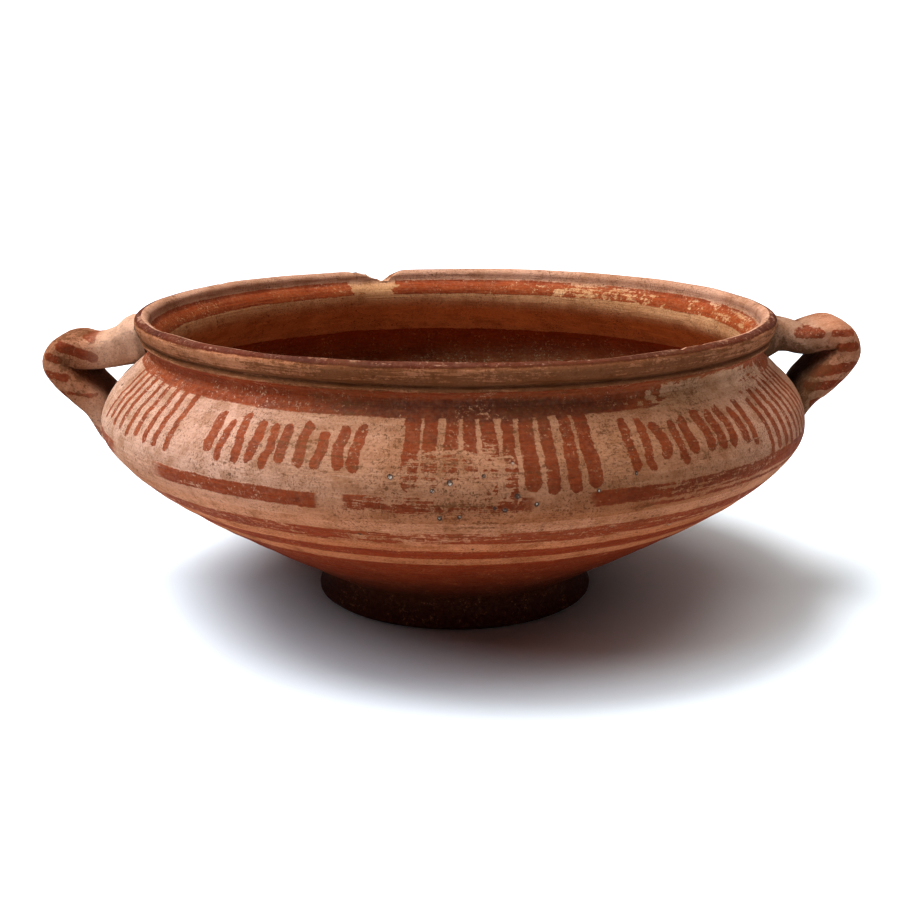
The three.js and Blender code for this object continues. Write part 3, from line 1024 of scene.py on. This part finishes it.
def shoulder_paint(groups, name, rows, front=False, left=False, right=False):
    """The shoulder: rows of strokes over a broad band on the widest line."""
    paint = WallPaint(groups, name)
    g = paint.g
    belly = paint.band(57.5, 61.6, 0.7)
    wear = outside_wear(paint)
    gaps = []
    if front:
        gaps.append(paint.patch("Turn", -16.2, 59.5, 1.9, 12.0, 0.1))
        gaps.append(paint.patch("Turn", 13.6, 59.5, 4.4, 12.0, 0.35))
        wear = paint.rub(wear, 0.42, "Turn", 1.2, 67.0, 9.0, 6.6, 0.7)
        wear = paint.rub(wear, 0.36, "Turn", -2.0, 58.8, 14.5, 5.2, 0.5)
    if front or left:
        gaps.append(paint.patch("Turn", -53.5, 59.5, 8.0, 12.0, 0.25))
        wear = paint.rub(wear, 0.2, "Turn", -46.5, 59.5, 4.0, 4.0, 0.8)
    if gaps:
        belly = g.times(belly, g.minus(1.0, any_of(g, gaps)))
    marks = [paint.band(78.4, 85.0, 0.45), belly] + [paint.row(*row) for row in rows]
    if front or right:
        wear = paint.rub(wear, 0.2, "Turn", 36.0, 59.5, 17.0, 4.0, 0.7)
        marks.append(g.times(paint.band(55.6, 56.6, 0.7), g.ramp(paint.turn, 22.0, 30.0)))
    pits = 0.035
    if front:
        pits = g.times_plus(paint.patch("Turn", 4.0, 62.0, 26.0, 8.0, 0.4), 0.12, 0.03)
    spots = paint.spots(FRONT_PITS) if front else None
    # Earth and painted shade: the middle and right of the front are darker and browner.
    middle = g.times(g.ramp(paint.turn, -28.0, 4.0), g.ramp(paint.turn, 58.0, 34.0))
    paint.tints = [
        (g.ramp(paint.rise, 64.0, 54.0), (1.18, 1.0, 0.86)),
        (middle, (0.78, 0.69, 0.59)),
        # Painted light: paler and pinker towards the lit left side.
        (g.ramp(paint.turn, -14.0, -30.0), (1.0, 1.06, 1.14)),
        (g.ramp(paint.turn, -42.0, -62.0), (1.08, 1.15, 1.18)),
        # Painted light: the neck band, shaded under the collar, is made lighter.
        (g.ramp(paint.rise, 76.0, 80.0), (1.25, 1.24, 1.2)),
        (faded_neck(paint), (1.10, 1.24, 1.30)),
    ]
    dusk = g.ramp(g.noise(paint.place, 0.2, 4, 0.7, 91), 0.52, 0.68, 0.0, 0.5)
    stain = g.larger(outside_stain(paint), dusk)
    return paint.finish(any_of(g, marks), wear, stain, outside_grime(paint), pits, 0.8, spots)


def cone_paint(groups):
    """The lower wall and foot: two turned bands, then solid slip down to the floor."""
    paint = WallPaint(groups, "painted_cone")
    g = paint.g
    streaky = paint.band(46.2, 50.7, 0.5)
    painted = any_of(g, [streaky, paint.band(38.9, 42.9, 0.4), paint.band(-2.0, 35.6, 0.35)])
    wear = g.times_plus(paint.band(45.0, 51.5, 0.5), 0.22, outside_wear(paint))
    paint.tints = [
        (1.0, (1.18, 1.0, 0.86)),
        (g.ramp(paint.rise, 49.0, 44.0), (0.98, 0.80, 0.66)),
        # Painted shade: darker towards the foot.
        (g.ramp(paint.rise, 40.0, 30.0), (0.86, 0.84, 0.80)),
        (g.ramp(paint.rise, 13.0, 7.0), (0.84, 0.92, 1.05)),
    ]
    # Painted shade: the bloom colour darkens the slip from 30 mm down to the foot.
    stain = g.ramp(paint.rise, 30.0, 8.0, 0.05, 1.0)
    return paint.finish(painted, wear, stain, outside_grime(paint), 0.04, 0.8)


def inside_paint(groups):
    """The inner wall: buff lip, a red band, buff below it and a red-brown coat over the floor."""
    paint = WallPaint(groups, "painted_inside")
    g = paint.g
    painted = any_of(g, [paint.band(83.6, 88.6, 0.5), paint.band(-5.0, 68.0, 0.6)])
    wear = paint.cloud(0.03, 70, 0.3, 0.75, 0.05, 0.3)
    wear = paint.rub(wear, 0.8, "Back Turn", 20.0, 87.0, 6.0, 9.0, 0.4)
    wear = paint.rub(wear, 0.4, "Back Turn", -38.0, 86.0, 13.0, 7.0, 0.9)
    wear = paint.rub(wear, 0.4, "Turn", 90.0, 90.0, 26.0, 9.0, 0.9)
    stain = paint.cloud(0.035, 83, 0.45, 0.75, 0.0, 0.25)
    # Painted light: the upper inner wall is made paler and warmer.
    upper = g.times(g.ramp(paint.rise, 60.0, 74.0), g.ramp(paint.rise, 89.5, 86.0))
    paint.tints = [
        (upper, (1.16, 1.16, 0.9)),
        (g.ramp(paint.rise, 70.0, 55.0), (1.1, 1.6, 1.45)),
    ]
    return paint.finish(painted, wear, stain, 0.02, 0.04, 1.0)


def bare_underside(groups):
    """The unpainted clay under the foot, rubbed pale where it stands."""
    material, g, shader = new_material("bare_underside")
    at = g.use(groups["place"])
    clay = g.use(groups["clay"], {"Place": at["Place"], "Streak": at["Streak"]})
    dust = g.cloud(at["Place"], 0.08, 8, 0.4, 0.7, 0.0, 0.4)
    colour = g.mix(dust, clay["Color"], UNDERSIDE_DUST)
    finish_surface(g, shader, colour, clay["Roughness"], clay["Height"], 0.16)
    return material


# Dashes on the handles: where the middle is, half the length and width, in millimetres, and the lean
LEFT_DASHES = [
    (-115.2, 83.8, 2.8, 1.0, -26),
    (-118.0, 79.4, 6.7, 1.55, -22),
    (-125.0, 77.6, 3.1, 1.25, -21),
    (-124.2, 72.2, 4.2, 1.25, -12),
    (-122.6, 66.0, 1.6, 1.0, -60),
    (-116.8, 66.2, 4.5, 0.55, -8),
    (-112.6, 54.8, 1.9, 1.0, -60),
]
RIGHT_DASHES = [
    (115.4, 90.2, 4.6, 1.1, 9),
    (110.2, 85.3, 4.4, 1.55, 3),
    (119.9, 85.9, 3.6, 1.05, 3),
    (121.6, 81.7, 3.7, 1.4, 5),
    (117.2, 74.4, 8.4, 1.5, 11),
    (115.6, 69.5, 6.3, 1.4, 7),
    (112.8, 64.0, 2.2, 1.2, 22),
]
LEFT_CRACK = [
    (-99.2, 86.3, 1.2, 0.35, -61),
    (-97.6, 83.4, 2.0, 0.3, -61),
    (-96.6, 80.6, 1.6, 0.3, -80),
]
# How each strap is painted and soiled, with painted light and shade, on its arm by the rim and on its bend
LEFT_LOOK = {
    "dashes": LEFT_DASHES,
    "cracks": LEFT_CRACK,
    "arm_earth_and_shade": 0.15,
    "bend_earth_and_shade": 2.4,
    "arm_painted_sheen": 0.28,
    "arm_tint": (1.0, 0.98, 0.95),
    "bend_tint": (0.84, 0.70, 0.60),
}
RIGHT_LOOK = {
    "dashes": RIGHT_DASHES,
    "cracks": [],
    "arm_earth_and_shade": 2.4,
    "bend_earth_and_shade": 1.5,
    "arm_painted_sheen": 0.0,
    "arm_tint": (0.72, 0.74, 0.73),
    "bend_tint": (0.92, 0.80, 0.74),
}


def handle_paint(groups, name, look):
    """Bare strap with short brush dashes over its front edge and outer face."""
    material, g, shader = new_material(name)
    at = g.use(groups["place"])
    place = at["Place"]
    where = {"Place": place, "Streak": place}
    clay = g.use(groups["clay"], where)
    outer = g.node("ShaderNodeAttribute", attribute_name="outer").outputs["Fac"]
    split = g.node("ShaderNodeSeparateXYZ", {"Vector": place}).outputs
    edge = g.minus(g.noise(place, 0.5, 5, 0.7, 19), 0.5)

    def deepest(marks):
        total = -9.0
        for x, z, half_length, half_width, lean in marks:
            made = {"X": split["X"], "Z": split["Z"], "At X": x, "At Z": z}
            made.update({"Lean": math.radians(lean), "Half Length": half_length, "Half Width": half_width})
            total = g.larger(total, g.use(groups["dash"], made)[0])
        return total

    depth = g.times_plus(edge, 1.9, deepest(look["dashes"]))
    strokes = g.times(g.ramp(depth, -0.15, 0.15), g.ramp(outer, -0.97, -0.8))
    wear = g.cloud(place, 0.06, 70, 0.3, 0.75, 0.08, 0.4)
    made = {"Under": clay["Color"], "Painted": strokes, "Wear": wear, "Stain": 0.1}
    slip = g.use(groups["slip"], {**where, **made})
    pits = g.use(groups["pits"], {"Place": place, "Amount": 0.04})
    earth = g.cloud(place, 0.06, 130, 0.3, 0.7, 0.0, 0.4)
    # Darker towards the strap's inner face.
    earth = g.plus(earth, g.ramp(outer, 0.2, -0.8, 0.0, 0.25))
    reach = g.math("ABSOLUTE", split["X"])
    # Earth and painted shade: heavy on the right arm by the rim and on the bends.
    earth = g.times(earth, g.ramp(reach, 110.0, 120.0, look["arm_earth_and_shade"], look["bend_earth_and_shade"]))
    earth = g.smaller(earth, 0.85)
    soiled = {"Under": slip["Color"], "Amount": earth}
    colour = g.use(groups["grime"], {**where, **soiled})["Color"]
    # Painted sheen: the left arm by the rim, on the lit side, is paler.
    colour = g.tinge(colour, PAINTED_SHEEN_ARM, look["arm_painted_sheen"], reach, 118.0, 108.0)
    # Painted shade: the right arm is darker, and the bends darker and browner.
    colour = g.mix(g.ramp(reach, 118.0, 110.0), colour, look["arm_tint"], "MULTIPLY")
    colour = g.mix(g.ramp(reach, 110.0, 118.0), colour, look["bend_tint"], "MULTIPLY")
    colour = g.layer(colour, pits["Pit"], 0.8, pits["Color"])
    # Earth and painted shade where the strap meets the neck.
    radius = g.distance(split["X"], split["Y"])
    seam = g.times_plus(edge, 3.0, radius)
    seam = g.times(g.ramp(seam, 101.0, 99.2), g.ramp(split["Z"], 56.0, 66.0))
    colour = g.layer(colour, seam, 0.55, SEAM_EARTH_AND_SHADE)
    if look["cracks"]:
        crack = g.ramp(g.times_plus(edge, 1.0, deepest(look["cracks"])), -0.3, 0.1)
        colour = g.mix(crack, colour, CRACK)
    rough = g.minus(clay["Roughness"], g.times(slip["Cover"], 0.2))
    height = g.minus(clay["Height"], g.times(pits["Pit"], 3.0))
    finish_surface(g, shader, colour, rough, height, 0.18)
    return material


def thrown_bowl(materials):
    """The bowl itself: one closed skin over the inside, lip, outside and foot."""
    rows, zones = profile()
    grid = thrown_points(rows[1:-1], zones[1:-1])
    count = len(grid)
    points = np.vstack([[(0, 0, rows[0, 1])], grid.reshape(-1, 3), [(0, 0, rows[-1, 1])]])
    around = range(AROUND)
    turns = [((j + 0.5) * 360 / AROUND + 90 + 180) % 360 - 180 for j in around]
    last = len(points) - 1
    last_ring = last - AROUND
    faces = [(0, 1 + j, 1 + (j + 1) % AROUND) for j in around]
    faces += ring_quads(1, count - 1, AROUND)
    faces += [(last, last_ring + (j + 1) % AROUND, last_ring + j) for j in around]
    slots = [INSIDE] * AROUND
    for zone in zones[2 : count + 1]:
        slots += [shoulder_zone(turn) if zone == FRONT else int(zone) for turn in turns]
    slots += [UNDERSIDE] * AROUND
    return mesh_object("thrown_bowl", points, faces, materials, slots)


def floor_and_light():
    bpy.ops.mesh.primitive_plane_add(size=6.0, location=(0, 1.2, -0.0003))
    floor = bpy.context.object
    floor.name = "pale_floor"
    material, g, shader = new_material("pale_floor")
    seen = g.node("ShaderNodeLightPath").outputs["Is Camera Ray"]
    g.feed(shader.inputs["Base Color"], g.mix(seen, (0.62, 0.62, 0.62), (0.89, 0.935, 0.95)))
    shader.inputs["Roughness"].default_value = 0.9
    shader.inputs["Specular IOR Level"].default_value = 0.1
    floor.data.materials.append(material)

    world = bpy.data.worlds.new("studio")
    world.use_nodes = True
    sky = Graph(world.node_tree)
    backdrop = world.node_tree.nodes["Background"]
    backdrop.inputs["Color"].default_value = (1, 1, 1, 1)
    seen = sky.node("ShaderNodeLightPath").outputs["Is Camera Ray"]
    sky.feed(backdrop.inputs["Strength"], sky.ramp(seen, 0.0, 1.0, 0.05, 1.3, smooth=False))
    bpy.context.scene.world = world

    def broad_light(name, around, above, strength, spread, colour=(1, 1, 1)):
        """A wide soft light; around is degrees from the front, to the right."""
        turn, lift = math.radians(around), math.radians(above)
        lamp = bpy.data.lights.new(name, "SUN")
        lamp.energy = strength
        lamp.color = colour
        lamp.angle = math.radians(spread)
        stand = bpy.data.objects.new(name, lamp)
        shine = Vector((-math.sin(turn) * math.cos(lift), math.cos(turn) * math.cos(lift), -math.sin(lift)))
        stand.rotation_euler = shine.to_track_quat("-Z", "Y").to_euler()
        bpy.context.scene.collection.objects.link(stand)

    broad_light("key_light", -98, 67, 3.2, 40, (1.0, 1.02, 1.06))
    broad_light("side_light", -56, 53, 2.0, 36, (0.88, 1.0, 1.12))
    broad_light("right_light", 88, 56, 0.5, 44)
    broad_light("top_light", 30, 82, 1.3, 50)


def photo_camera():
    """The camera, where the photograph was taken from."""
    data = bpy.data.cameras.new("photo_camera")
    camera = bpy.data.objects.new("photo_camera", data)
    data.sensor_width = SENSOR_WIDTH
    data.sensor_fit = "HORIZONTAL"
    data.lens = SENSOR_WIDTH * FOCAL_LENGTH / PHOTO_WIDTH
    data.clip_start = 0.01
    camera.location = CAMERA_PLACE
    camera.rotation_euler = (math.radians(90 - CAMERA_DROP), 0, math.radians(CAMERA_ROLL))
    bpy.context.scene.collection.objects.link(camera)
    bpy.context.scene.camera = camera


bpy.context.scene.view_settings.view_transform = "Standard"
bpy.context.scene.view_settings.gamma = 0.88
photo_camera()
floor_and_light()

MAKERS = (
    place_group,
    clay_group,
    slip_group,
    band_group,
    stroke_group,
    patch_group,
    spot_group,
    dash_group,
    pits_group,
    grime_group,
)
GROUPS = {make.__name__.removesuffix("_group"): make() for make in MAKERS}

PAINTS = {
    INSIDE: inside_paint(GROUPS),
    UNDERSIDE: bare_underside(GROUPS),
    RIM: rim_paint(GROUPS),
    FRONT: shoulder_paint(GROUPS, "painted_shoulder_front", FRONT_ROWS, front=True),
    LEFT: shoulder_paint(GROUPS, "painted_shoulder_left", LEFT_ROWS, left=True),
    RIGHT: shoulder_paint(GROUPS, "painted_shoulder_right", RIGHT_ROWS, right=True),
    BACK: shoulder_paint(GROUPS, "painted_shoulder_back", BACK_ROWS),
    CONE: cone_paint(GROUPS),
}
body = thrown_bowl([PAINTS[zone] for zone in sorted(PAINTS)])
left = strap_handle("left_handle", LEFT_HANDLE, handle_paint(GROUPS, "left_strap", LEFT_LOOK), 4)
right = strap_handle("right_handle", RIGHT_HANDLE, handle_paint(GROUPS, "right_strap", RIGHT_LOOK), 8)
for piece in (body, left, right):
    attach(piece, "root")
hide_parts("bowl")
